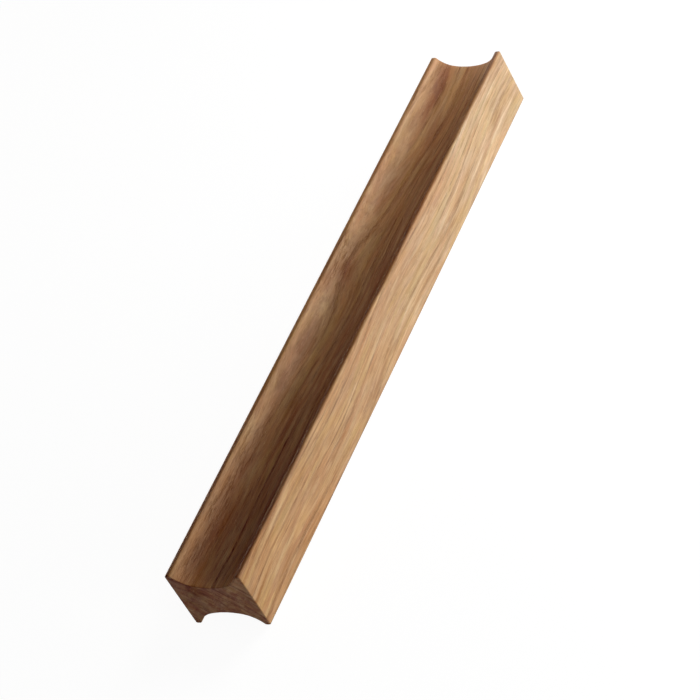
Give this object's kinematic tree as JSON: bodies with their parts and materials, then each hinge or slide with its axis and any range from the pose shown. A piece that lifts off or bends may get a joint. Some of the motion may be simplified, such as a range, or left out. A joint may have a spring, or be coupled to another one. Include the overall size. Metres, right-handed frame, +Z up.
{
  "type": "wooden pull handle",
  "caption": "Straight oak pull handle with a finger groove along its top and underside and threaded brass inserts in its flat back, for a drawer or door front.",
  "frame": {"origin": "centre of the flat back face, which rests against the door or drawer front", "axes": "+X along the bar, +Z up across the face, +Y out of the back face into the door or drawer front, so the handle stands out towards -Y"},
  "size_m": [0.212, 0.025, 0.02],
  "materials": {
    "oak": "satin",
    "insert_brass": "machined"
  },
  "bodies": {
    "root": {"pull_bar": "oak", "threaded_insert_left": "insert_brass", "threaded_insert_right": "insert_brass"}
  },
  "joints": []
}
